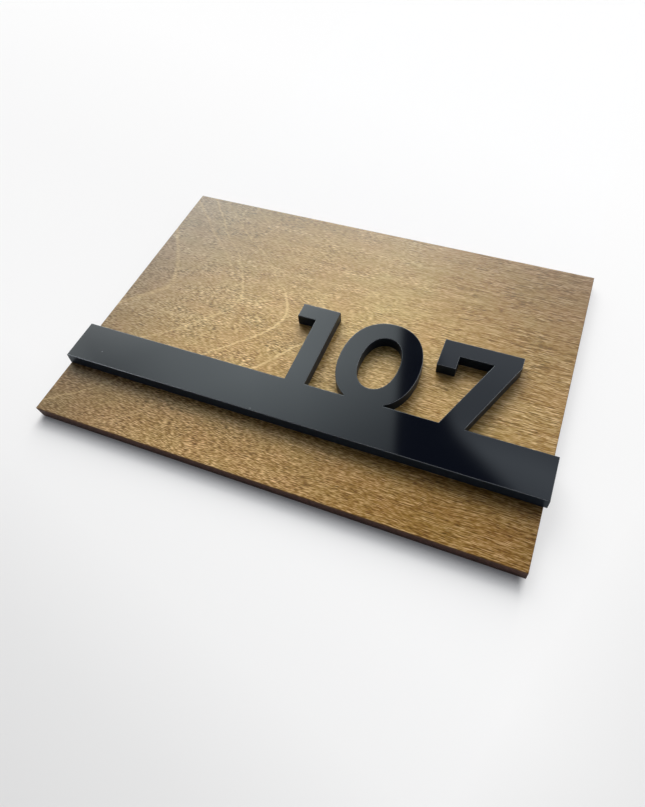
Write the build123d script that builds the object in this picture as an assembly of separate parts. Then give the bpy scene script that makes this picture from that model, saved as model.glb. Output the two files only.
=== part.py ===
from build123d import *
import math
import os

# House number plaque: a stained plywood board, and a number piece cut from one acrylic sheet bonded on it.
# Millimetres. The origin is the centre of the board's back face, +X runs along the board,
# +Y points up the wall and +Z points out of the wall, towards the reader.

# Backing board
board_width = 240.0
board_height = 175.0
board_thickness = 6.0
board_arris = 0.3

# Knocked corner at the board's lower left: how far the break reaches along the back face's edges.
# From there it runs out at the front face's corner
chip_along_width = 2.2
chip_along_height = 1.6

# Acrylic sheet that the strip and the numerals are cut from, and the radius the cut leaves in inside corners
acrylic_thickness = 6.0
acrylic_arris = 0.3
inside_corner_radius = 0.3

# Strip under the numerals: a little longer than the board, and bonded a little to the right of its middle
strip_length = 241.8
strip_height = 22.6
strip_shift = 0.6
strip_above_board_foot = 30.7

# Numerals: their height from baseline to top, how far the baseline is sunk into the strip, and their row
numeral_height = 50.4
numeral_sink = 1.2
numerals_right_margin = 23.2
gap_one_to_zero = 9.5
gap_zero_to_seven = 5.9

# Numeral one: an upright stem with a square flag at its head
one_stem_width = 10.4
one_flag_reach = 10.0
one_flag_depth = 9.0

# Numeral zero: a full oval that passes a little over the top line and under the baseline
zero_width = 40.5
zero_overshoot = 0.9
zero_side_stroke = 10.4
zero_end_stroke = 9.9
# Handle length of the oval's quarter curves, as a share of its half sizes: 0.55 would be an ellipse
oval_fullness = 0.61

# Numeral seven: a level arm, a square spur at its left end and a stroke leaning down from its right end
seven_width = 38.9
seven_arm_depth = 8.9
seven_spur_width = 9.4
seven_spur_depth = 17.0
seven_shoulder_depth = 6.5
seven_stroke_width = 10.9
seven_lean = 21.8

# Levels up the board
board_foot = -board_height / 2
strip_foot = board_foot + strip_above_board_foot
strip_top = strip_foot + strip_height
baseline = strip_top - numeral_sink
numeral_top = baseline + numeral_height

# Places along the board
board_left = -board_width / 2
strip_left = strip_shift - strip_length / 2
strip_right = strip_shift + strip_length / 2
seven_right = board_width / 2 - numerals_right_margin
seven_left = seven_right - seven_width
zero_right = seven_left - gap_zero_to_seven
zero_left = zero_right - zero_width
one_right = zero_left - gap_one_to_zero

# How close to a level a corner counts as lying on it
level_tolerance = 0.001


def make_backing_board():
    """Plywood board with sanded edges and a knocked corner at its lower left."""
    board = Box(
        board_width,
        board_height,
        board_thickness,
        align=(Align.CENTER, Align.CENTER, Align.MIN),
    )
    faces_by_height = board.faces().sort_by(Axis.Z)
    back = faces_by_height[0]
    front = faces_by_height[-1]
    board = fillet(back.edges() + front.edges(), board_arris)
    return split(board, bisect_by=chip_plane(), keep=Keep.TOP)


def chip_plane():
    """Plane of the break at the knocked corner, facing into the board."""
    on_foot = Vector(board_left + chip_along_width, board_foot, 0)
    on_side = Vector(board_left, board_foot + chip_along_height, 0)
    on_corner = Vector(board_left, board_foot, board_thickness)
    along = on_side - on_foot
    return Plane(on_foot, x_dir=along, z_dir=along.cross(on_corner - on_foot))


def make_oval(half_width, half_height):
    """Upright oval about the origin, from one quarter curve and its mirror images."""
    quarter = Bezier(
        (0, half_height),
        (oval_fullness * half_width, half_height),
        (half_width, oval_fullness * half_height),
        (half_width, 0),
    )
    right = [quarter, mirror(quarter, about=Plane.XZ)]
    left = [mirror(curve, about=Plane.YZ) for curve in right]
    return make_face(right + left)


def corners_on_level(outline, level, left, right):
    """Corners of an outline that lie on one level, strictly between two places along the board."""
    on_level = outline.vertices().filter_by_position(Axis.Y, level - level_tolerance, level + level_tolerance)
    return on_level.filter_by_position(Axis.X, left, right, inclusive=(False, False))


def make_numeral_one():
    """Stem and square flag, with the inside corner under the flag rounded."""
    stem_left = one_right - one_stem_width
    flag_left = stem_left - one_flag_reach
    flag_foot = numeral_top - one_flag_depth
    outline = Polygon(
        (one_right, baseline),
        (one_right, numeral_top),
        (flag_left, numeral_top),
        (flag_left, flag_foot),
        (stem_left, flag_foot),
        (stem_left, baseline),
        align=None,
    )
    return fillet(corners_on_level(outline, flag_foot, flag_left, one_right), inside_corner_radius)


def make_numeral_zero():
    """Oval ring with an upright oval counter."""
    half_width = zero_width / 2
    half_height = numeral_height / 2 + zero_overshoot
    ring = make_oval(half_width, half_height)
    counter = make_oval(half_width - zero_side_stroke, half_height - zero_end_stroke)
    middle = Pos(zero_left + half_width, baseline + numeral_height / 2)
    return middle * (ring - counter)


def make_numeral_seven():
    """Arm with its spur and leaning stroke, with the inside corners under the arm rounded."""
    run = math.tan(math.radians(seven_lean))
    stroke_across = seven_stroke_width / math.cos(math.radians(seven_lean))
    shoulder = numeral_top - seven_shoulder_depth
    arm_foot = numeral_top - seven_arm_depth
    foot_right = seven_right - run * (shoulder - baseline)
    foot_left = foot_right - stroke_across
    crotch = foot_left + run * (arm_foot - baseline)
    spur_right = seven_left + seven_spur_width
    spur_foot = numeral_top - seven_spur_depth
    outline = Polygon(
        (foot_right, baseline),
        (seven_right, shoulder),
        (seven_right, numeral_top),
        (seven_left, numeral_top),
        (seven_left, spur_foot),
        (spur_right, spur_foot),
        (spur_right, arm_foot),
        (crotch, arm_foot),
        (foot_left, baseline),
        align=None,
    )
    return fillet(corners_on_level(outline, arm_foot, seven_left, seven_right), inside_corner_radius)


def make_number_bar():
    """Strip and numerals cut as one piece, with rounded roots where they meet and eased front edges."""
    strip = Pos(strip_shift, strip_foot) * Rectangle(
        strip_length,
        strip_height,
        align=(Align.CENTER, Align.MIN),
    )
    outline = strip + make_numeral_one() + make_numeral_zero() + make_numeral_seven()
    roots = corners_on_level(outline, strip_top, strip_left, strip_right)
    outline = fillet(roots, inside_corner_radius)
    sheet = Pos(0, 0, board_thickness) * extrude(outline, acrylic_thickness)
    front = sheet.faces().sort_by(Axis.Z)[-1]
    return fillet(front.edges(), acrylic_arris)


os.makedirs("parts", exist_ok=True)
export_step(make_backing_board(), "parts/backing_board.step")
export_step(make_number_bar(), "parts/number_bar.step")
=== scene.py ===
import math
from collections import namedtuple

import bmesh
import bpy
from bpy.props import FloatProperty, FloatVectorProperty, PointerProperty
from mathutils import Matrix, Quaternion, Vector


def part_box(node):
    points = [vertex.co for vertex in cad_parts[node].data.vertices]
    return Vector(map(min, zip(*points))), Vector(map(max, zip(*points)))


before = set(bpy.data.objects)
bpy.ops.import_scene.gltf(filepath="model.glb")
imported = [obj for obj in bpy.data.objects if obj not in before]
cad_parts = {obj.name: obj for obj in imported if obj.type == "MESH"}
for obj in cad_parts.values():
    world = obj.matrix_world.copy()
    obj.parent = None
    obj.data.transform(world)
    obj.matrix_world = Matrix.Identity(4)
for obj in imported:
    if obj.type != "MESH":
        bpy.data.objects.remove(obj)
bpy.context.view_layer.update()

bl_info = {
    "name": "House Number Plaque",
    "version": (1, 0, 0),
    "blender": (4, 5, 0),
    "location": "View3D > Sidebar > Plaque",
    "description": "Finishes a plywood plaque and its acrylic number piece, and lights them by a window",
    "category": "Material",
}

# Patterns are worked out in millimetres, from Object coordinates in metres
MILLIMETRES = 1000.0

board_low, board_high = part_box("backing_board")
board_thickness = (board_high.z - board_low.z) * MILLIMETRES
board_half_width = (board_high.x - board_low.x) / 2
board_half_height = (board_high.y - board_low.y) / 2

# Growth-ring lines in the face veneer: nested arcs that open to the left, the outermost first.
# Millimetres on the board's face. An arc's branches fall back from its apex by upper or lower millimetres
# for each one across the grain. Below, apex and above say how clear the line is on its lower branch,
# at its apex and on its upper branch
Ring = namedtuple("Ring", "apex_x apex_y upper lower bend width below apex above")
GROWTH_RINGS = (
    Ring(-5.4, 9.0, 1.20, 1.00, 18.0, 0.55, 0.6, 0.4, 0.1),
    Ring(-28.1, 9.0, 1.20, 1.20, 18.0, 0.48, 0.74, 0.64, 0.12),
    Ring(-55.3, 12.0, 0.84, 1.18, 11.0, 0.6, 0.38, 0.32, 0.16),
    Ring(-59.5, 12.5, 1.00, 1.25, 10.0, 0.7, 0.05, 0.07, 0.13),
    Ring(-98.7, 12.5, 0.60, 1.20, 9.0, 1.0, 0.2, 0.19, 0.13),
)

# Where a ring changes from its lower branch to its apex and from there to its upper branch, in millimetres
# above the apex, where its line fades, as shares of its width, and where the wood inside it gives way,
# in millimetres past the line
RING_LOWER_SPAN = (-14.0, -2.0)
RING_UPPER_SPAN = (2.0, 26.0)
RING_LINE_FADE = (0.3, 1.6)
RING_INSIDE_FADE = (-3.0, 0.5)

# How clear the rings are in front, in dark and in light flecks, and in faint and in clear stretches
RINGS_IN_FRONT = 0.3
RINGS_IN_FLECKS = (0.65, 1.2)
RINGS_IN_STRETCHES = (0.78, 1.15)

# Grain flecks: their length beside the wood's own fleck or streak and their width beside its fleck,
# how far they wander, how soft they are, how strong they are at the left and the right end of the board,
# in doublings of light, and how much of that is left towards the back and comes out in front
Fleck = namedtuple("Fleck", "length width wander softness left right back front")
FINE_FLECK = Fleck(1.2, 0.62, 0.3, 0.18, 0.48, 0.24, 0.7, 1.35)
FULL_FLECK = Fleck(2.2, 1.4, 0.4, 0.24, 0.14, 0.08, 1.0, 0.9)
SHORT_STREAK = Fleck(0.36, 0.6, 0.2, 0.17, 0.02, 0.28, 0.76, 1.1)
LONG_STREAK = Fleck(1.1, 0.7, 0.2, 0.2, 0.11, 0.21, 0.85, 1.25)
BROAD_BAND = Fleck(6.0, 10.0, 0.2, 0.2, 0.08, 0.035, 1.0, 1.0)

# A fleck's light side comes out over a longer span than its dark side, by this factor. That darkens the wood
# a little on the whole, and the doublings of light make up for it
FLECK_LIGHT_SIDE = 1.3
FLECK_BALANCE = 0.06

# Darkest that a fleck gets, as a share of the stain around it
DARKEST_FLECK = 0.4

# Painted sheen of the flecks: how far the neutral paleness that stands in for the lacquer's sheen on light
# flecks reaches in red, green and blue, and how strong it is in front and behind
FLECK_SHEEN_TINT = (0.98, 1.0, 0.88)
FLECK_SHEEN = (0.17, 0.33)

# How strong flecks are at the board's left end, and in its calmest and liveliest areas, in front and behind
CALM_END = 0.72
CALMEST_AREAS = (0.88, 0.65)
LIVELIEST_AREAS = (1.12, 1.3)

# Spans along the board, in millimetres from left to right: the calm left end, flecks that give way
# to streaks, grey heartwood that gives way to brown, and the change of tint under the number piece
CALM_END_SPAN = (-110.0, -60.0)
STREAK_SPAN = (-50.0, 90.0)
HEARTWOOD_SPAN = (-60.0, 60.0)
FOOT_TINT_SPAN = (0.0, 70.0)

# Spans across the board, in millimetres: towards the back, from the front, from the front for the flecks'
# painted sheen, and down towards the foot
BACK_SPAN = (-5.0, 45.0)
FRONT_SPAN = (-60.0, -35.0)
FLECK_SHEEN_SPAN = (-60.0, -20.0)
FOOT_SPAN = (-35.0, -58.0)

# Lines that stray: the size of their waves and how far they reach, in millimetres, and how fine they get
Stray = namedtuple("Stray", "size reach detail")
GRAIN_DRIFT = Stray((60.0, 30.0, 30.0), (8.0, 6.0, 0.0), 2.0)
RING_JAGS = Stray((4.0, 2.5, 2.5), (2.4, 1.5, 0.0), 1.0)

# Cloudy patterns: the size of their clouds in millimetres, how fine they get, the span of noise over which
# they turn from one kind to the other, and whether that has soft ends
Cloud = namedtuple("Cloud", "size detail span smooth")
GRAIN_AREAS = Cloud((16.0, 8.0, 8.0), 1.0, (0.36, 0.64), False)
STAIN_TINTS = Cloud((16.0, 10.0, 10.0), 1.0, (0.3, 0.7), False)
RING_STRETCHES = Cloud((13.0, 9.0, 9.0), 1.0, (0.36, 0.6), True)
SMUDGES = Cloud((14.0, 9.0, 9.0), 3.0, (0.35, 0.75), True)
NOISE_ROUGHNESS = 0.55

# Golden middle of the stain, in millimetres on the board's face: its place, its reach to the left,
# to the right and up, and where it fades, as shares of the reach
GOLDEN_MIDDLE = (15.0, -34.0)
GOLDEN_REACH = (106.0, 119.0, 98.0)
GOLDEN_FADE = (0.42, 1.75)

# Broad soft patches in the stain, in millimetres on the board's face: their middle, their reach
# and their tint. Their core is the share of the reach over which they are full
Patch = namedtuple("Patch", "middle reach tint")
STAIN_PATCHES = (
    Patch((-45.0, 74.0), (75.0, 38.0), (0.985, 0.925, 0.72)),
    Patch((24.0, 45.0), (30.0, 75.0), (1.09, 1.16, 1.22)),
    Patch((92.0, 38.0), (36.0, 50.0), (0.89, 0.87, 0.82)),
)
PATCH_CORE = 0.25

# Pores: their length and width in millimetres, how much stain they hold, and how deep they are
# beside the flecks
PORE_LENGTH = 3.2
PORE_WIDTH = 0.9
PORE_STAIN = 0.2
PORE_DEPTH = 0.8

# How squarely the board faces the front where its scorched edge ends and its face begins
EDGE_FADE = (0.5, 0.97)

# Plies on the cut edges: their number, where in a ply its glue line begins, and how dark that line is
PLY_COUNT = 5
GLUE_SPAN = (0.38, 0.5)
GLUE_SHADE = 0.55

# Char on the cut edges: its marks' length and width in millimetres, how dark and light they are,
# and how dark it is at the back and at the front
CHAR_LENGTH = 1.5
CHAR_WIDTH = 0.9
CHAR_MARKS = (0.6, 1.4)
CHAR_SHADE = (0.55, 1.15)

# Rim of the cut edges, in millimetres under the face, and how much lighter brown shows there
RIM_DEPTHS = (1.4, 0.1)
RIM_BROWN = 0.45

# Roughness of the lacquer by the grain's light, and how much more the cut edges have
LACQUER_SPAN = (0.6, 1.6)
LACQUER_ROUGHNESS = (0.27, 0.33)
EDGE_ROUGHNESS = 0.3

# Dust specks on the acrylic, in millimetres on the board's face, and the share of their reach that is full
DUST_PLACES = ((-103.7, -49.2), (-16.5, -55.8))
DUST_REACH = (0.5714, 0.4)
DUST_CORE = 0.4

# How squarely the acrylic faces the front where its sides end, where its arris begins
# and where its face begins
SIDE_FADE = (0.2, 0.6)
ARRIS_FADE = (0.3, 0.6)
FACE_FADE = (0.95, 0.995)

# Frosted arris with a painted highlight: the way it faces where the painted highlight is clearest, how it
# clears towards that, how clear it is elsewhere, and how bright it is from the board's left end on, in
# millimetres along the board
ARRIS_HIGHLIGHT_FACING = (0.35, -0.94, 0.0)
ARRIS_TURN = (-0.1, 0.4)
ARRIS_LEAST = 0.15
ARRIS_SPAN = (-105.0, -25.0)
ARRIS_HIGHLIGHT = (1.9, 0.65)

# Roughness of clean and of smudged gloss, how much more the sides and the arris have, the weight
# of the polish on the face, and the size of the cut's upright marks on the sides, in millimetres
GLOSS_ROUGHNESS = (0.05, 0.08)
SIDE_ROUGHNESS = 0.25
ARRIS_ROUGHNESS = 0.3
POLISH = 0.74
CUT_MARK_SIZE = (0.25, 0.25, 8.0)

# Windows as seen from the plaque: azimuths from the board's top edge, to the right, and elevations,
# in degrees. Across and up pair an angle with the share of the light there. An edge is a pair of directions
# that it runs through
Window = namedtuple("Window", "name across up edges")
LOW_WINDOW = Window(
    "Low Window",
    across=(
        (-64, 0.0),
        (-52, 0.3),
        (-42, 0.62),
        (-34, 0.7),
        (-26, 0.72),
        (-16, 1.2),
        (-8, 0.82),
        (2, 0.5),
        (14, 0.22),
        (44, 0.14),
        (62, 0.08),
        (90, 0.0),
    ),
    up=(
        (2, 0.22),
        (9, 0.36),
        (15, 0.55),
        (21, 0.82),
        (27, 1.0),
        (33, 1.0),
        (38, 0.78),
        (42.5, 0.24),
        (46, 0.0),
    ),
    edges=(),
)
LEFT_WINDOW = Window(
    "Left Window",
    across=(
        (-92, 0.0),
        (-74, 0.7),
        (-64, 0.9),
        (-54, 0.4),
        (-46, 0.76),
        (-37, 1.0),
        (-30, 1.0),
        (-15.7, 0.64),
        (-14.7, 0.0),
    ),
    up=((32, 0.0), (40, 0.85), (46, 1.0), (50.5, 0.91), (57, 0.46), (68, 0.0)),
    edges=(),
)
RIGHT_WINDOW = Window(
    "Right Window",
    across=((-12, 0.27), (9, 0.27), (20, 0.27), (30, 0.16), (46, 0.08), (60, 0.0)),
    up=((34, 0.0), (41, 1.0), (49, 0.86), (52, 0.66), (55, 0.64), (57.5, 1.02), (69, 0.0)),
    edges=(((-6.1, 56.5), (-10.5, 49.0)), ((-4.8, 56.55), (5.8, 59.8))),
)

# A direction inside the edged window, and how soft its edges are, as the sine of an angle
WINDOW_MIDDLE = (30.0, 40.0)
EDGE_SOFTNESS = 0.014

# Ceiling lamp: its azimuth and elevation, and the angles from its middle at which its light ends and is full
LAMP_DIRECTION = (144.0, 80.0)
LAMP_EDGE = (12.0, 8.0)

# Elevations between which the pale horizon gives way to the room
HORIZON_SPAN = (4.0, 12.0)

# Floor: the radius of its disc in metres, the disc's sides, and how far it lies under the board, in metres
FLOOR_RADIUS = 12.0
FLOOR_SEGMENTS = 96
FLOOR_DROP = 0.00002

# Lightness of the floor by how far a place on it lies towards the window, in metres
TOWARDS_WINDOW = (0.3, 1.0, 0.0)
FLOOR_LIGHT = (
    (-0.26, 0.72),
    (-0.198, 0.81),
    (-0.148, 0.915),
    (-0.1, 0.96),
    (0.035, 0.97),
    (0.134, 1.0),
    (0.215, 1.025),
    (0.34, 1.03),
)

# Darker corner of the floor: the way to it, where it begins and is full, in metres, and its lightness
TOWARDS_CORNER = (1.0, -0.35, 0.0)
CORNER_SPAN = (0.172, 0.222)
CORNER_LIGHT = 0.893

# Shadow in front of the board, in metres: how far from the board's foot it begins to lift and ends,
# and where along the board it deepens towards the right end, with the share of white that is left there
SHADOW_SPAN = (0.0008, 0.0085)
RIGHT_END_SPAN = (0.07, 0.115)
RIGHT_END_WHITE = 0.82

# Where the white beside the board begins and is full, in metres past the board's ends. It is painted light
# that fills the board's shadow there
BESIDE_SPAN = (-0.004, 0.0015)

# Width of the camera's frame, in millimetres
CAMERA_FRAME = 36.0


# Settings


class PlaqueWood(bpy.types.PropertyGroup):
    """Stained plywood of the backing board."""

    golden: FloatVectorProperty(
        name="Golden stain",
        description="Stain over the middle of the board",
        subtype="COLOR",
        size=3,
        min=0.0,
        max=1.0,
        default=(0.445, 0.287, 0.105),
    )
    brown: FloatVectorProperty(
        name="Brown stain",
        description="Darker stain towards the right of the board",
        subtype="COLOR",
        size=3,
        min=0.0,
        max=1.0,
        default=(0.17, 0.095, 0.043),
    )
    grey: FloatVectorProperty(
        name="Grey heartwood",
        description="Cooler wood inside the growth rings at the left",
        subtype="COLOR",
        size=3,
        min=0.0,
        max=1.0,
        default=(0.17, 0.116, 0.064),
    )
    # Foot tints: how much darker the wood is in front of the number piece, at the left and at the right
    foot_tint_left: FloatVectorProperty(
        name="Foot tint, left",
        description="How much deeper the stain is under the number piece, at the left",
        subtype="COLOR",
        size=3,
        min=0.0,
        max=1.0,
        default=(0.81, 0.765, 0.74),
    )
    foot_tint_right: FloatVectorProperty(
        name="Foot tint, right",
        description="How much deeper the stain is under the number piece, at the right",
        subtype="COLOR",
        size=3,
        min=0.0,
        max=1.0,
        default=(0.65, 0.575, 0.43),
    )
    pink_tint: FloatVectorProperty(
        name="Pink patches",
        description="Tint of the warmer patches in the stain",
        subtype="COLOR",
        size=3,
        min=0.0,
        soft_max=1.2,
        default=(1.02, 0.985, 1.01),
    )
    green_tint: FloatVectorProperty(
        name="Green patches",
        description="Tint of the cooler patches in the stain",
        subtype="COLOR",
        size=3,
        min=0.0,
        soft_max=1.2,
        default=(0.98, 1.01, 0.98),
    )
    heart_tint: FloatVectorProperty(
        name="Heartwood tint",
        description="Tint of the wood inside the innermost growth ring",
        subtype="COLOR",
        size=3,
        min=0.0,
        max=1.0,
        default=(0.87, 0.84, 0.87),
    )
    ring: FloatVectorProperty(
        name="Growth ring",
        description="Pale line of a growth ring",
        subtype="COLOR",
        size=3,
        min=0.0,
        max=1.0,
        default=(0.8, 0.6, 0.3),
    )
    pore: FloatVectorProperty(
        name="Pores",
        description="Stain gathered in the pores",
        subtype="COLOR",
        size=3,
        min=0.0,
        max=1.0,
        default=(0.03, 0.016, 0.006),
    )
    scorch: FloatVectorProperty(
        name="Scorched edge",
        description="Edge darkened by the laser that cut it",
        subtype="COLOR",
        size=3,
        min=0.0,
        max=1.0,
        default=(0.09, 0.041, 0.032),
    )
    fleck_length: FloatProperty(
        name="Fleck length",
        description="Length of the short flecks along the grain",
        subtype="DISTANCE",
        unit="LENGTH",
        default=0.0019,
    )
    fleck_width: FloatProperty(
        name="Fleck width",
        description="Width of the flecks and streaks across the grain",
        subtype="DISTANCE",
        unit="LENGTH",
        default=0.0006,
    )
    streak_length: FloatProperty(
        name="Streak length",
        description="Length of the streaks on the right of the board",
        subtype="DISTANCE",
        unit="LENGTH",
        default=0.013,
    )


class PlaqueAcrylic(bpy.types.PropertyGroup):
    """Gloss black acrylic of the number piece."""

    body: FloatVectorProperty(
        name="Body",
        description="Colour of the acrylic sheet",
        subtype="COLOR",
        size=3,
        min=0.0,
        max=1.0,
        default=(0.0012, 0.0018, 0.0047),
    )
    # Side colour: a lighter blue-grey than the body, partly a painted reflection of the bluish room on the
    # shaded sides
    side: FloatVectorProperty(
        name="Side",
        description="Cut sides of the acrylic sheet, a little duller than its face",
        subtype="COLOR",
        size=3,
        min=0.0,
        max=1.0,
        default=(0.02, 0.028, 0.04),
    )
    # Arris colour: frosting from the cut, with a painted highlight over it
    arris: FloatVectorProperty(
        name="Arris",
        description="Frosted edge left by the cut round the front face",
        subtype="COLOR",
        size=3,
        min=0.0,
        max=1.0,
        default=(0.35, 0.37, 0.39),
    )
    dust: FloatVectorProperty(
        name="Dust",
        description="Colour of the dust specks",
        subtype="COLOR",
        size=3,
        min=0.0,
        max=1.0,
        default=(0.1, 0.105, 0.11),
    )


class PlaqueStudio(bpy.types.PropertyGroup):
    """Floor, light and camera."""

    floor: FloatVectorProperty(
        name="Floor",
        description="Colour of the pale floor",
        subtype="COLOR",
        size=3,
        min=0.0,
        max=1.0,
        default=(0.965, 0.965, 0.965),
    )
    floor_white: FloatProperty(
        name="White of the floor",
        description="Share of plain white in the floor as it is seen in front of the plaque",
        subtype="FACTOR",
        min=0.0,
        max=1.0,
        default=0.47,
    )
    # Painted light: the white beside the plaque fills its shadow there
    side_white: FloatProperty(
        name="White beside the plaque",
        description="The same share beside the plaque, where the picture is burnt out",
        subtype="FACTOR",
        min=0.0,
        max=1.0,
        default=0.65,
    )
    shadow_white: FloatProperty(
        name="White in the shadow",
        description="The same share in the shadow along the plaque's foot",
        subtype="FACTOR",
        min=0.0,
        max=1.0,
        default=0.045,
    )
    low_window: FloatVectorProperty(
        name="Low window",
        description="Light of the wide low window at the back",
        subtype="COLOR",
        size=3,
        min=0.0,
        soft_max=20.0,
        default=(13.45, 13.25, 12.95),
    )
    left_window: FloatVectorProperty(
        name="Left window",
        description="Light of the window above it at the left",
        subtype="COLOR",
        size=3,
        min=0.0,
        soft_max=10.0,
        default=(2.86, 2.92, 2.91),
    )
    right_window: FloatVectorProperty(
        name="Right window",
        description="Light of the window above it at the right",
        subtype="COLOR",
        size=3,
        min=0.0,
        soft_max=10.0,
        default=(4.45, 4.53, 4.8),
    )
    lamp: FloatVectorProperty(
        name="Ceiling lamp",
        description="Light of the small lamp overhead",
        subtype="COLOR",
        size=3,
        min=0.0,
        soft_max=10.0,
        default=(0.8, 0.8, 0.8),
    )
    room: FloatVectorProperty(
        name="Room",
        description="Dim light of the room around the windows",
        subtype="COLOR",
        size=3,
        min=0.0,
        max=1.0,
        default=(0.055, 0.062, 0.08),
    )
    horizon: FloatVectorProperty(
        name="Horizon",
        description="Pale surroundings at the level of the floor",
        subtype="COLOR",
        size=3,
        min=0.0,
        max=1.0,
        default=(0.9, 0.9, 0.9),
    )
    camera_place: FloatVectorProperty(
        name="Camera place",
        description="Where the camera stands",
        subtype="XYZ",
        unit="LENGTH",
        size=3,
        default=(0.091861, -0.195877, 0.251872),
    )
    camera_aim: FloatVectorProperty(
        name="Camera aim",
        description="Point on the board's face in the middle of the picture",
        subtype="XYZ",
        unit="LENGTH",
        size=3,
        default=(0.012669, -0.038151, 0.006),
    )
    camera_roll: FloatProperty(
        name="Camera roll",
        description="Turn of the camera about its line of sight",
        subtype="ANGLE",
        unit="ROTATION",
        default=math.radians(-5.914),
    )
    lens: FloatProperty(
        name="Lens",
        description="Focal length on a 36 mm frame, in millimetres",
        default=28.228,
        min=1.0,
    )


# Node helpers


def feed(tree, socket, source):
    """Links a socket to another one, or sets it to a plain value."""
    if isinstance(source, bpy.types.NodeSocket):
        tree.links.new(source, socket)
    else:
        socket.default_value = source


def add(tree, kind, inputs=None, **settings):
    """Adds a node with its settings, and feeds its inputs by name or number."""
    node = tree.nodes.new(kind)
    for name, value in settings.items():
        setattr(node, name, value)
    for name, source in (inputs or {}).items():
        feed(tree, node.inputs[name], source)
    return node


def calculate(tree, operation, *sources):
    """Output of a Math node."""
    return add(tree, "ShaderNodeMath", dict(enumerate(sources)), operation=operation).outputs[0]


def product(tree, first, *others):
    """Several values multiplied."""
    for other in others:
        first = calculate(tree, "MULTIPLY", first, other)
    return first


def vector_math(tree, operation, *sources):
    """Vector output of a Vector Math node."""
    node = add(tree, "ShaderNodeVectorMath", dict(enumerate(sources)), operation=operation)
    return node.outputs["Vector"]


def dot(tree, first, second):
    """Dot product of two vectors."""
    node = add(tree, "ShaderNodeVectorMath", {0: first, 1: second}, operation="DOT_PRODUCT")
    return node.outputs["Value"]


def length(tree, vector):
    """Length of a vector."""
    return add(tree, "ShaderNodeVectorMath", {0: vector}, operation="LENGTH").outputs["Value"]


def scaled(tree, vector, factor):
    """A colour or vector times a number."""
    node = add(tree, "ShaderNodeVectorMath", {0: vector, "Scale": factor}, operation="SCALE")
    return node.outputs["Vector"]


def separate(tree, vector):
    """X, Y and Z of a vector."""
    return add(tree, "ShaderNodeSeparateXYZ", {0: vector}).outputs


def combine(tree, *sources):
    """A vector from its X, Y and Z."""
    return add(tree, "ShaderNodeCombineXYZ", dict(enumerate(sources))).outputs[0]


def remap(tree, value, from_low, from_high, to_low=0.0, to_high=1.0, smooth=True):
    """A value carried from one range to another, clamped, with soft ends unless it is to stay straight."""
    inputs = {
        "Value": value,
        "From Min": from_low,
        "From Max": from_high,
        "To Min": to_low,
        "To Max": to_high,
    }
    kind = "SMOOTHSTEP" if smooth else "LINEAR"
    return add(tree, "ShaderNodeMapRange", inputs, interpolation_type=kind).outputs["Result"]


def centred(tree, value):
    """A value from 0 to 1 carried to the range from -1 to 1."""
    return calculate(tree, "MULTIPLY_ADD", value, 2.0, -1.0)


def mix_colour(tree, share, first, second, blend="MIX"):
    """Two colours mixed by a share."""
    inputs = {0: share, 6: opaque(first), 7: opaque(second)}
    node = add(tree, "ShaderNodeMix", inputs, data_type="RGBA", blend_type=blend)
    return node.outputs[2]


def opaque(colour):
    """A plain colour with full alpha. A socket stays as it is."""
    if isinstance(colour, bpy.types.NodeSocket):
        return colour
    return (*colour, 1.0)


def noise(tree, position, size, detail=1.0, wander=0.0):
    """Value and colour of noise over a position, with waves of a size along each axis."""
    inputs = {
        "Vector": vector_math(tree, "DIVIDE", position, size),
        "Scale": 1.0,
        "Detail": detail,
        "Roughness": NOISE_ROUGHNESS,
        "Distortion": wander,
    }
    return add(tree, "ShaderNodeTexNoise", inputs, noise_dimensions="3D").outputs


def clouds(tree, position, cloud, low=0.0, high=1.0):
    """A cloudy pattern over a position that turns from one value to another."""
    value = noise(tree, position, cloud.size, cloud.detail)[0]
    return remap(tree, value, *cloud.span, low, high, smooth=cloud.smooth)


def strayed(tree, place, position, stray):
    """A place moved about at random, by noise over a position."""
    waves = noise(tree, position, stray.size, stray.detail)["Color"]
    shift = vector_math(tree, "SUBTRACT", waves, (0.5, 0.5, 0.5))
    return vector_math(tree, "ADD", place, vector_math(tree, "MULTIPLY", shift, stray.reach))


def new_group(name, inputs, outputs):
    """An empty shader node group, with its input sockets by name and its output sockets by name."""
    tree = bpy.data.node_groups.new(name, "ShaderNodeTree")
    for label, kind, default in inputs:
        socket = tree.interface.new_socket(name=label, in_out="INPUT", socket_type=kind)
        socket.default_value = default
    for label in outputs:
        tree.interface.new_socket(name=label, in_out="OUTPUT", socket_type="NodeSocketFloat")
    return tree, add(tree, "NodeGroupInput").outputs, add(tree, "NodeGroupOutput").inputs


def shared_group(name, build, *values):
    """A node group, built under its name the first time that it is asked for."""
    return bpy.data.node_groups.get(name) or build(name, *values)


def place_group(tree, group, **inputs):
    """A group placed in a tree with its own values."""
    return add(tree, "ShaderNodeGroup", inputs, node_tree=group).outputs


def position_in_millimetres(tree):
    """Object coordinates in millimetres."""
    return scaled(tree, add(tree, "ShaderNodeTexCoord").outputs["Object"], MILLIMETRES)


def facing(tree):
    """The way that a surface faces, and how squarely it faces the front or the back."""
    normal = add(tree, "ShaderNodeNewGeometry").outputs["True Normal"]
    return normal, calculate(tree, "ABSOLUTE", dot(tree, normal, (0.0, 0.0, 1.0)))


def new_material(name):
    """A material and its empty tree."""
    material = bpy.data.materials.new(name)
    material.use_nodes = True
    material.node_tree.nodes.clear()
    return material, material.node_tree


def finish_material(tree, shader):
    """Joins a shader to the material's output."""
    add(tree, "ShaderNodeOutputMaterial", {"Surface": shader.outputs[0]})


# Shared groups


def mark_size(tree, given):
    """Size of a mark, long along X and narrow across it, from a group's inputs."""
    return combine(tree, given["Length"], given["Width"], given["Width"])


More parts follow.
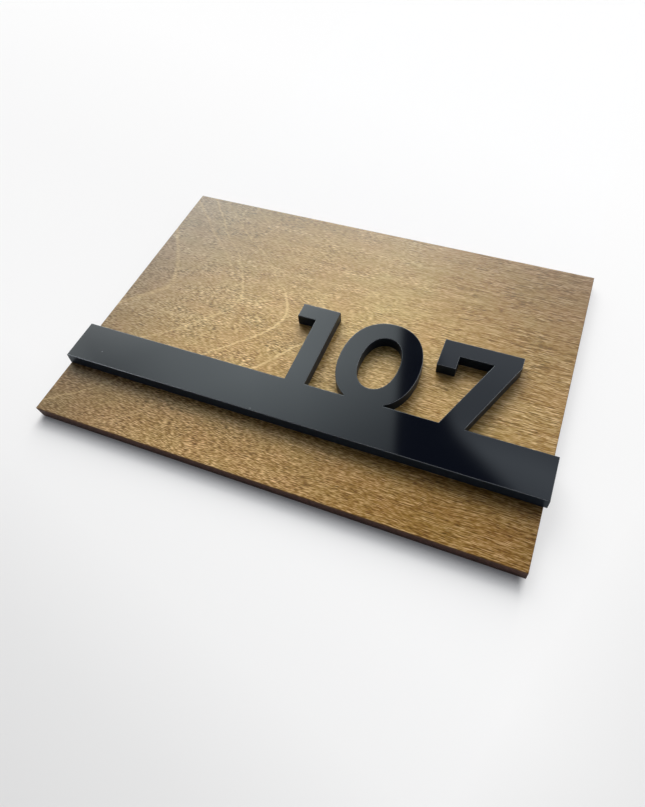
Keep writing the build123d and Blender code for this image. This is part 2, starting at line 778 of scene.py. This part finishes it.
def flecks_group(name):
    """Grain flecks, long along X and narrow across it."""
    tree, given, made = new_group(
        name,
        (
            ("Position", "NodeSocketVector", (0.0, 0.0, 0.0)),
            ("Length", "NodeSocketFloat", 1.6),
            ("Width", "NodeSocketFloat", 0.7),
            ("Wander", "NodeSocketFloat", 0.3),
            ("Softness", "NodeSocketFloat", 0.2),
        ),
        ("Fleck",),
    )
    value = noise(tree, given["Position"], mark_size(tree, given), 0.0, given["Wander"])[0]
    low = calculate(tree, "SUBTRACT", 0.5, given["Softness"])
    high = calculate(tree, "MULTIPLY_ADD", given["Softness"], FLECK_LIGHT_SIDE, 0.5)
    feed(tree, made["Fleck"], remap(tree, value, low, high, smooth=False))
    return tree


def ring_group(name):
    """Line of one growth ring, and the wood inside it."""
    tree, given, made = new_group(
        name,
        (
            ("Position", "NodeSocketVector", (0.0, 0.0, 0.0)),
            ("Apex", "NodeSocketVector", (0.0, 0.0, 0.0)),
            ("Upper", "NodeSocketFloat", 1.2),
            ("Lower", "NodeSocketFloat", 1.2),
            ("Bend", "NodeSocketFloat", 10.0),
            ("Width", "NodeSocketFloat", 0.5),
        ),
        ("Line", "Inside"),
    )
    place = vector_math(tree, "SUBTRACT", given["Position"], given["Apex"])
    along, across, _ = separate(tree, place)
    upper_side = calculate(tree, "GREATER_THAN", across, 0.0)
    slope_change = calculate(tree, "SUBTRACT", given["Upper"], given["Lower"])
    slope = calculate(tree, "MULTIPLY_ADD", upper_side, slope_change, given["Lower"])
    rounded = length(tree, combine(tree, given["Bend"], across))
    fall = calculate(tree, "MULTIPLY", calculate(tree, "SUBTRACT", rounded, given["Bend"]), slope)
    past = calculate(tree, "ADD", along, fall)
    steep = calculate(tree, "SQRT", calculate(tree, "MULTIPLY_ADD", slope, slope, 1.0))
    distance = calculate(tree, "DIVIDE", past, steep)
    closeness = calculate(tree, "DIVIDE", calculate(tree, "ABSOLUTE", distance), given["Width"])
    feed(tree, made["Line"], remap(tree, closeness, *RING_LINE_FADE, 1.0, 0.0))
    feed(tree, made["Inside"], remap(tree, distance, *RING_INSIDE_FADE, 1.0, 0.0))
    return tree


def pores_group(name):
    """Short pores, drawn out along X and set at random."""
    tree, given, made = new_group(
        name,
        (
            ("Position", "NodeSocketVector", (0.0, 0.0, 0.0)),
            ("Length", "NodeSocketFloat", 3.0),
            ("Width", "NodeSocketFloat", 0.9),
        ),
        ("Pore",),
    )
    stretched = vector_math(tree, "DIVIDE", given["Position"], mark_size(tree, given))
    cells = add(tree, "ShaderNodeTexVoronoi", {"Vector": stretched, "Scale": 1.0}, feature="F1")
    chance = add(tree, "ShaderNodeSeparateColor", {0: cells.outputs["Color"]}).outputs[0]
    reach = remap(tree, chance, 0.3, 1.0, 0.05, 0.38, smooth=False)
    near = calculate(tree, "DIVIDE", cells.outputs["Distance"], reach)
    feed(tree, made["Pore"], remap(tree, near, 0.5, 1.0, 1.0, 0.0))
    return tree


def spot_group(name):
    """Soft oval spot about a place on the face, full over its core and gone at its reach."""
    tree, given, made = new_group(
        name,
        (
            ("Position", "NodeSocketVector", (0.0, 0.0, 0.0)),
            ("Middle", "NodeSocketVector", (0.0, 0.0, 0.0)),
            ("Reach", "NodeSocketVector", (1.0, 1.0, 1.0)),
            ("Core", "NodeSocketFloat", 0.25),
        ),
        ("Share",),
    )
    away = vector_math(tree, "SUBTRACT", given["Position"], given["Middle"])
    flat = vector_math(tree, "MULTIPLY", away, (1.0, 1.0, 0.0))
    distance = length(tree, vector_math(tree, "DIVIDE", flat, given["Reach"]))
    feed(tree, made["Share"], remap(tree, distance, given["Core"], 1.0, 1.0, 0.0))
    return tree


def spot_share(tree, position, middle, reach, core):
    """How much of a soft spot there is at a position."""
    group = shared_group("Soft Spot", spot_group)
    spot = place_group(
        tree,
        group,
        Position=position,
        Middle=(*middle, 0.0),
        Reach=(*reach, 1.0),
        Core=core,
    )
    return spot["Share"]


def profile_group(name, stops):
    """Share of a light by a place along its stops, an angle in degrees or a distance in metres."""
    tree, given, made = new_group(name, (("Place", "NodeSocketFloat", 0.0),), ("Share",))
    first = stops[0][0]
    last = stops[-1][0]
    along = remap(tree, given["Place"], first, last, smooth=False)
    ramp = add(tree, "ShaderNodeValToRGB", {0: along})
    elements = ramp.color_ramp.elements
    while len(elements) < len(stops):
        elements.new(1.0)
    for element, (place, share) in zip(elements, stops):
        element.position = (place - first) / (last - first)
        element.color = (share, share, share, 1.0)
    feed(tree, made["Share"], ramp.outputs["Color"])
    return tree


def profile(tree, name, place, stops):
    """A light's share at a place along its stops, from the group of that name."""
    return place_group(tree, shared_group(name, profile_group, stops), Place=place)["Share"]


# Finishes

# Where a point of the board lies, in millimetres: plainly, with the grain's drift, and along the board,
# across it and up from its back
Face = namedtuple("Face", "position wandering along across depth")


def grain(tree, wood, face):
    """Light of the grain beside the plain stain, and the fine flecks by themselves."""
    flecks = shared_group("Grain Flecks", flecks_group)
    fleck_length = wood.fleck_length * MILLIMETRES
    fleck_width = wood.fleck_width * MILLIMETRES
    streak_length = wood.streak_length * MILLIMETRES
    kinds = (
        (FINE_FLECK, fleck_length),
        (FULL_FLECK, fleck_length),
        (SHORT_STREAK, streak_length),
        (LONG_STREAK, streak_length),
        (BROAD_BAND, streak_length),
    )

    # Flecks are short at the left and run into streaks at the right, in calmer and livelier areas
    at_left_end = remap(tree, face.along, *CALM_END_SPAN, CALM_END, 1.0)
    calmest = remap(tree, face.across, *FRONT_SPAN, *CALMEST_AREAS)
    liveliest = remap(tree, face.across, *FRONT_SPAN, *LIVELIEST_AREAS)
    lively = clouds(tree, face.position, GRAIN_AREAS, calmest, liveliest)
    doublings = FLECK_BALANCE
    values = []
    for kind, plain_length in kinds:
        value = place_group(
            tree,
            flecks,
            Position=face.wandering,
            Length=kind.length * plain_length,
            Width=kind.width * fleck_width,
            Wander=kind.wander,
            Softness=kind.softness,
        )["Fleck"]
        at_back = remap(tree, face.across, *BACK_SPAN, 1.0, kind.back)
        in_front = remap(tree, face.across, *FRONT_SPAN, kind.front, 1.0)
        from_left = remap(tree, face.along, *STREAK_SPAN, kind.left, kind.right)
        calm = calculate(tree, "MINIMUM", at_left_end, at_back)
        strength = product(tree, calm, in_front, lively, from_left)
        doublings = calculate(tree, "MULTIPLY_ADD", centred(tree, value), strength, doublings)
        values.append(value)
    return calculate(tree, "POWER", 2.0, doublings), values[0]


def stain(tree, wood, face):
    """Stain, golden about the middle, grey-brown to the left, browner to the right, and darker at the foot.
    """
    past_middle = calculate(tree, "SUBTRACT", face.along, GOLDEN_MIDDLE[0])
    away_left = calculate(tree, "DIVIDE", past_middle, -GOLDEN_REACH[0])
    away_right = calculate(tree, "DIVIDE", past_middle, GOLDEN_REACH[1])
    away_along = calculate(tree, "MAXIMUM", away_left, away_right)
    above = calculate(tree, "MAXIMUM", calculate(tree, "SUBTRACT", face.across, GOLDEN_MIDDLE[1]), 0.0)
    away_above = calculate(tree, "DIVIDE", above, GOLDEN_REACH[2])
    distance = length(tree, combine(tree, away_along, away_above))
    golden_share = remap(tree, distance, *GOLDEN_FADE, 1.0, 0.0)
    dark = mix_colour(tree, remap(tree, face.along, *HEARTWOOD_SPAN), wood.grey, wood.brown)
    colour = mix_colour(tree, golden_share, dark, wood.golden)
    # Darker towards the foot, in front of the number piece
    at_foot = remap(tree, face.across, *FOOT_SPAN)
    to_right = remap(tree, face.along, *FOOT_TINT_SPAN)
    foot_tint = mix_colour(tree, to_right, wood.foot_tint_left, wood.foot_tint_right)
    colour = mix_colour(tree, at_foot, colour, foot_tint, blend="MULTIPLY")

    # Broad patches, and pinkish and greenish ones
    for patch in STAIN_PATCHES:
        share = spot_share(tree, face.wandering, patch.middle, patch.reach, PATCH_CORE)
        colour = mix_colour(tree, share, colour, patch.tint, blend="MULTIPLY")
    tint = mix_colour(tree, clouds(tree, face.wandering, STAIN_TINTS), wood.pink_tint, wood.green_tint)
    return mix_colour(tree, 1.0, colour, tint, blend="MULTIPLY")


def ringed(tree, wood, face, colour, fine_flecks):
    """A colour with growth rings over it, faint in front, and the wood inside the innermost one tinted."""
    ring = shared_group("Growth Ring", ring_group)
    in_front = remap(tree, face.across, *FOOT_SPAN, 1.0, RINGS_IN_FRONT)
    in_flecks = remap(tree, fine_flecks, 0.0, 1.0, *RINGS_IN_FLECKS, smooth=False)
    in_stretches = clouds(tree, face.position, RING_STRETCHES, *RINGS_IN_STRETCHES)
    clear = product(tree, in_flecks, in_stretches, in_front)
    jagged = strayed(tree, face.wandering, face.position, RING_JAGS)
    for line in GROWTH_RINGS:
        drawn = place_group(
            tree,
            ring,
            Position=jagged,
            Apex=(line.apex_x, line.apex_y, 0.0),
            Upper=line.upper,
            Lower=line.lower,
            Bend=line.bend,
            Width=line.width,
        )
        lower_span = (line.apex_y + height for height in RING_LOWER_SPAN)
        upper_span = (line.apex_y + height for height in RING_UPPER_SPAN)
        lower = remap(tree, face.across, *lower_span, line.below, line.apex)
        strength = remap(tree, face.across, *upper_span, lower, line.above)
        share = product(tree, drawn["Line"], strength, clear)
        colour = mix_colour(tree, share, colour, wood.ring)
    inside_innermost = drawn["Inside"]
    return mix_colour(tree, inside_innermost, colour, wood.heart_tint, blend="MULTIPLY")


def cut_edge(tree, wood, face):
    """Scorched edge, with the plies showing as faint lines and a lighter brown rim along its top."""
    flecks = shared_group("Grain Flecks", flecks_group)
    char = place_group(tree, flecks, Position=face.position, Length=CHAR_LENGTH, Width=CHAR_WIDTH)["Fleck"]
    ply = calculate(tree, "FRACT", calculate(tree, "MULTIPLY", face.depth, PLY_COUNT / board_thickness))
    from_middle = calculate(tree, "ABSOLUTE", calculate(tree, "SUBTRACT", ply, 0.5))
    glue = remap(tree, from_middle, *GLUE_SPAN)
    light = product(
        tree,
        remap(tree, char, 0.0, 1.0, *CHAR_MARKS, smooth=False),
        remap(tree, glue, 0.0, 1.0, 1.0, GLUE_SHADE),
        remap(tree, face.depth, 0.0, board_thickness, *CHAR_SHADE),
    )
    rim_span = (board_thickness - depth for depth in RIM_DEPTHS)
    rim = remap(tree, face.depth, *rim_span, 0.0, RIM_BROWN)
    return mix_colour(tree, rim, scaled(tree, wood.scorch, light), wood.brown)


def plywood_material(wood):
    """Stained birch plywood under satin lacquer, with scorched edges."""
    material, tree = new_material("stained_plywood")
    position = position_in_millimetres(tree)
    wandering = strayed(tree, position, position, GRAIN_DRIFT)
    face = Face(position, wandering, *separate(tree, position))
    light, fine_flecks = grain(tree, wood, face)
    colour = stain(tree, wood, face)

    # Pores hold more stain, and light flecks are paler by a painted sheen that stands in for the lacquer's
    # sheen
    pores = shared_group("Pores", pores_group)
    pore = place_group(tree, pores, Position=wandering, Length=PORE_LENGTH, Width=PORE_WIDTH)["Pore"]
    colour = mix_colour(tree, calculate(tree, "MULTIPLY", pore, PORE_STAIN), colour, wood.pore)
    # Painted sheen: the grain's light is spread over a neutral paleness as well as over the stain
    pale = scaled(tree, FLECK_SHEEN_TINT, remap(tree, face.across, *FLECK_SHEEN_SPAN, *FLECK_SHEEN))
    flecked = scaled(tree, vector_math(tree, "ADD", colour, pale), light)
    flecked = vector_math(tree, "SUBTRACT", flecked, pale)
    colour = vector_math(tree, "MAXIMUM", flecked, scaled(tree, colour, DARKEST_FLECK))
    colour = ringed(tree, wood, face, colour, fine_flecks)
    _, upright = facing(tree)
    on_edge = remap(tree, upright, *EDGE_FADE, 1.0, 0.0)
    colour = mix_colour(tree, on_edge, colour, cut_edge(tree, wood, face))

    # Satin lacquer, a little duller in the light flecks and on the bare edges
    satin = remap(tree, light, *LACQUER_SPAN, *LACQUER_ROUGHNESS, smooth=False)
    rough = calculate(tree, "MULTIPLY_ADD", on_edge, EDGE_ROUGHNESS, satin)
    relief = calculate(tree, "SUBTRACT", light, calculate(tree, "MULTIPLY", pore, PORE_DEPTH))
    bump = add(tree, "ShaderNodeBump", {"Height": relief, "Strength": 0.5, "Distance": 0.00003})
    shader = add(
        tree,
        "ShaderNodeBsdfPrincipled",
        {
            "Base Color": colour,
            "Roughness": rough,
            "Normal": bump.outputs[0],
            "IOR": 1.48,
            "Specular IOR Level": 0.24,
            "Specular Tint": (1.0, 0.965, 0.74, 1.0),
        },
    )
    finish_material(tree, shader)
    return material


def acrylic_material(acrylic):
    """Gloss black cast acrylic with a little dust, and laser-cut sides."""
    material, tree = new_material("gloss_acrylic")
    position = position_in_millimetres(tree)
    along = separate(tree, position)[0]
    colour = acrylic.body
    for place in DUST_PLACES:
        speck = spot_share(tree, position, place, DUST_REACH, DUST_CORE)
        colour = mix_colour(tree, speck, colour, acrylic.dust)

    # The arris is frosted and carries a painted highlight, strongest along its front-facing lower edges and
    # brightest at the left
    normal, upright = facing(tree)
    on_side = remap(tree, upright, *SIDE_FADE, 1.0, 0.0)
    past_side = remap(tree, upright, *ARRIS_FADE)
    off_face = remap(tree, upright, *FACE_FADE, 1.0, 0.0)
    frosted = calculate(tree, "MULTIPLY", past_side, off_face)
    towards_highlight = remap(tree, dot(tree, normal, ARRIS_HIGHLIGHT_FACING), *ARRIS_TURN, ARRIS_LEAST, 1.0)
    # The sides take that lighter blue-grey, partly a painted reflection of the room
    colour = mix_colour(tree, on_side, colour, acrylic.side)
    arris = scaled(tree, acrylic.arris, remap(tree, along, *ARRIS_SPAN, *ARRIS_HIGHLIGHT))
    colour = mix_colour(tree, calculate(tree, "MULTIPLY", frosted, towards_highlight), colour, arris)

    # The face is polished and a little smudged, and the sides keep fine upright marks from the cut
    gloss = clouds(tree, position, SMUDGES, *GLOSS_ROUGHNESS)
    rough = calculate(tree, "MULTIPLY_ADD", on_side, SIDE_ROUGHNESS, gloss)
    rough = calculate(tree, "MULTIPLY_ADD", frosted, ARRIS_ROUGHNESS, rough)
    polish = remap(tree, upright, *FACE_FADE, 0.0, POLISH)
    marks = noise(tree, position, CUT_MARK_SIZE)[0]
    relief = calculate(tree, "MULTIPLY", marks, on_side)
    bump = add(tree, "ShaderNodeBump", {"Height": relief, "Strength": 0.15, "Distance": 0.0001})
    shader = add(
        tree,
        "ShaderNodeBsdfPrincipled",
        {
            "Base Color": colour,
            "Roughness": rough,
            "Normal": bump.outputs[0],
            "IOR": 1.49,
            "Specular IOR Level": 0.13,
            "Specular Tint": (0.5, 0.88, 1.0, 1.0),
            "Coat Weight": polish,
            "Coat IOR": 1.49,
            "Coat Roughness": 0.06,
        },
    )
    finish_material(tree, shader)
    return material


def floor_material(studio):
    """Plain pale floor, a little lighter towards the window. What looks at it also sees some plain white."""
    material, tree = new_material("pale_floor")
    position = add(tree, "ShaderNodeTexCoord").outputs["Object"]
    light = profile(tree, "Floor Light", dot(tree, position, TOWARDS_WINDOW), FLOOR_LIGHT)
    to_corner = dot(tree, position, TOWARDS_CORNER)
    corner = remap(tree, to_corner, *CORNER_SPAN, 1.0, CORNER_LIGHT, smooth=False)
    colour = scaled(tree, studio.floor, calculate(tree, "MULTIPLY", light, corner))
    surface = add(
        tree,
        "ShaderNodeBsdfPrincipled",
        {"Base Color": colour, "Roughness": 0.8, "Specular IOR Level": 0.0},
    )
    white = add(tree, "ShaderNodeEmission", {"Color": colour, "Strength": 1.0})
    rays = add(tree, "ShaderNodeLightPath").outputs
    seen = calculate(tree, "MAXIMUM", rays["Is Camera Ray"], rays["Is Glossy Ray"])
    seen = calculate(tree, "MAXIMUM", seen, rays["Is Transmission Ray"])

    # Painted light and shade on the floor: less white in the shadow in front, deeper towards the right end,
    # and more white beside the board, where it fills the board's shadow
    along, across, _ = separate(tree, position)
    shadow_span = (-board_half_height - away for away in SHADOW_SPAN)
    whites = (studio.shadow_white, studio.floor_white)
    in_front = remap(tree, across, *shadow_span, *whites, smooth=False)
    to_right_end = remap(tree, along, *RIGHT_END_SPAN, 1.0, RIGHT_END_WHITE)
    in_front = calculate(tree, "MULTIPLY", in_front, to_right_end)
    beside_span = (board_half_width + past for past in BESIDE_SPAN)
    beside = remap(tree, calculate(tree, "ABSOLUTE", along), *beside_span, 0.0, studio.side_white)
    share = calculate(tree, "MULTIPLY", seen, calculate(tree, "MAXIMUM", in_front, beside))
    shader = add(tree, "ShaderNodeMixShader", {0: share, 1: surface.outputs[0], 2: white.outputs[0]})
    finish_material(tree, shader)
    return material


# Stage


def direction_to(azimuth, elevation):
    """Unit vector to an azimuth from +Y, to the right, and an elevation, in degrees."""
    turn = math.radians(azimuth)
    rise = math.radians(elevation)
    level = math.cos(rise)
    return Vector((math.sin(turn) * level, math.cos(turn) * level, math.sin(rise)))


def edge_normal(first, second, inside):
    """Normal of the plane through the plaque and two directions, facing a third one."""
    normal = direction_to(*first).cross(direction_to(*second)).normalized()
    return normal if normal.dot(direction_to(*inside)) > 0 else -normal


def window_share(tree, window, direction, azimuth, elevation):
    """How much of a window's light comes from a direction."""
    across = profile(tree, window.name + " Across", azimuth, window.across)
    up = profile(tree, window.name + " Up", elevation, window.up)
    share = calculate(tree, "MULTIPLY", across, up)
    for edge in window.edges:
        depth = dot(tree, direction, edge_normal(*edge, inside=WINDOW_MIDDLE))
        cut = remap(tree, depth, -EDGE_SOFTNESS, EDGE_SOFTNESS)
        share = calculate(tree, "MULTIPLY", share, cut)
    return share


def set_world(studio):
    """A dim room with three windows and a small lamp."""
    world = bpy.data.worlds.new("Window Room")
    bpy.context.scene.world = world
    world.use_nodes = True
    tree = world.node_tree
    tree.nodes.clear()
    direction = add(tree, "ShaderNodeTexCoord").outputs["Generated"]
    right, back, up = separate(tree, direction)
    azimuth = calculate(tree, "DEGREES", calculate(tree, "ARCTAN2", right, back))
    elevation = calculate(tree, "DEGREES", calculate(tree, "ARCSINE", up))

    # Dim room over a pale horizon
    colour = mix_colour(tree, remap(tree, elevation, *HORIZON_SPAN), studio.horizon, studio.room)

    windows = (
        (LOW_WINDOW, studio.low_window),
        (LEFT_WINDOW, studio.left_window),
        (RIGHT_WINDOW, studio.right_window),
    )
    for window, light in windows:
        share = window_share(tree, window, direction, azimuth, elevation)
        colour = vector_math(tree, "ADD", colour, scaled(tree, light, share))

    # Small lamp overhead
    closeness = dot(tree, direction, direction_to(*LAMP_DIRECTION))
    outer, inner = (math.cos(math.radians(angle)) for angle in LAMP_EDGE)
    colour = mix_colour(tree, remap(tree, closeness, outer, inner), colour, studio.lamp, blend="ADD")

    background = add(tree, "ShaderNodeBackground", {"Color": colour, "Strength": 1.0})
    add(tree, "ShaderNodeOutputWorld", {"Surface": background.outputs[0]})


def make_floor(studio):
    """A wide disc just under the board's back face."""
    mesh = bpy.data.meshes.new("floor")
    shape = bmesh.new()
    bmesh.ops.create_circle(shape, cap_ends=True, radius=FLOOR_RADIUS, segments=FLOOR_SEGMENTS)
    bmesh.ops.translate(shape, verts=shape.verts, vec=(0.0, 0.0, board_low.z - FLOOR_DROP))
    shape.to_mesh(mesh)
    shape.free()
    floor = bpy.data.objects.new("floor", mesh)
    bpy.context.scene.collection.objects.link(floor)
    mesh.materials.append(floor_material(studio))


def set_camera(studio):
    """Camera at the photograph's place."""
    data = bpy.data.cameras.new("camera")
    data.sensor_width = CAMERA_FRAME
    data.lens = studio.lens
    camera = bpy.data.objects.new("camera", data)
    bpy.context.scene.collection.objects.link(camera)
    place = Vector(studio.camera_place)
    aim = (Vector(studio.camera_aim) - place).to_track_quat("-Z", "Y")
    camera.location = place
    camera.rotation_mode = "QUATERNION"
    camera.rotation_quaternion = aim @ Quaternion((0.0, 0.0, 1.0), studio.camera_roll)
    bpy.context.scene.camera = camera


# Operators and panel


def give_finish(node, material):
    """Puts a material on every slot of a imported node."""
    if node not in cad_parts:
        raise RuntimeError(f"the packed model has no node named {node}")
    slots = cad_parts[node].material_slots
    if not slots:
        raise RuntimeError(f"{node} has no material slot")
    for slot in slots:
        slot.material = material


class PLAQUE_OT_finish_board(bpy.types.Operator):
    """Give the backing board its stained plywood finish"""

    bl_idname = "plaque.finish_board"
    bl_label = "Finish Backing Board"

    def execute(self, context):
        give_finish("backing_board", plywood_material(context.scene.plaque_wood))
        return {"FINISHED"}


class PLAQUE_OT_finish_number_bar(bpy.types.Operator):
    """Give the number piece its gloss acrylic finish"""

    bl_idname = "plaque.finish_number_bar"
    bl_label = "Finish Number Bar"

    def execute(self, context):
        give_finish("number_bar", acrylic_material(context.scene.plaque_acrylic))
        return {"FINISHED"}


class PLAQUE_OT_set_stage(bpy.types.Operator):
    """Lay the floor, light the room and set the camera"""

    bl_idname = "plaque.set_stage"
    bl_label = "Set Stage"

    def execute(self, context):
        studio = context.scene.plaque_studio
        context.scene.view_settings.view_transform = "Standard"
        make_floor(studio)
        set_world(studio)
        set_camera(studio)
        return {"FINISHED"}


class PLAQUE_PT_sidebar(bpy.types.Panel):
    """Finishes and stage of the plaque"""

    bl_label = "House Number Plaque"
    bl_idname = "PLAQUE_PT_sidebar"
    bl_space_type = "VIEW_3D"
    bl_region_type = "UI"
    bl_category = "Plaque"

    def draw(self, context):
        layout = self.layout
        rows = (
            ("plaque_wood", PlaqueWood, "plaque.finish_board"),
            ("plaque_acrylic", PlaqueAcrylic, "plaque.finish_number_bar"),
            ("plaque_studio", PlaqueStudio, "plaque.set_stage"),
        )
        for name, group, operator in rows:
            box = layout.box()
            settings = getattr(context.scene, name)
            for label in group.__annotations__:
                box.prop(settings, label)
            box.operator(operator)


CLASSES = (
    PlaqueWood,
    PlaqueAcrylic,
    PlaqueStudio,
    PLAQUE_OT_finish_board,
    PLAQUE_OT_finish_number_bar,
    PLAQUE_OT_set_stage,
    PLAQUE_PT_sidebar,
)


def register():
    for part in CLASSES:
        bpy.utils.register_class(part)
    bpy.types.Scene.plaque_wood = PointerProperty(type=PlaqueWood)
    bpy.types.Scene.plaque_acrylic = PointerProperty(type=PlaqueAcrylic)
    bpy.types.Scene.plaque_studio = PointerProperty(type=PlaqueStudio)


def unregister():
    del bpy.types.Scene.plaque_studio
    del bpy.types.Scene.plaque_acrylic
    del bpy.types.Scene.plaque_wood
    for part in reversed(CLASSES):
        bpy.utils.unregister_class(part)


def main():
    """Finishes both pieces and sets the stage."""
    register()
    bpy.ops.plaque.finish_board()
    bpy.ops.plaque.finish_number_bar()
    bpy.ops.plaque.set_stage()


if __name__ == "__main__":
    main()
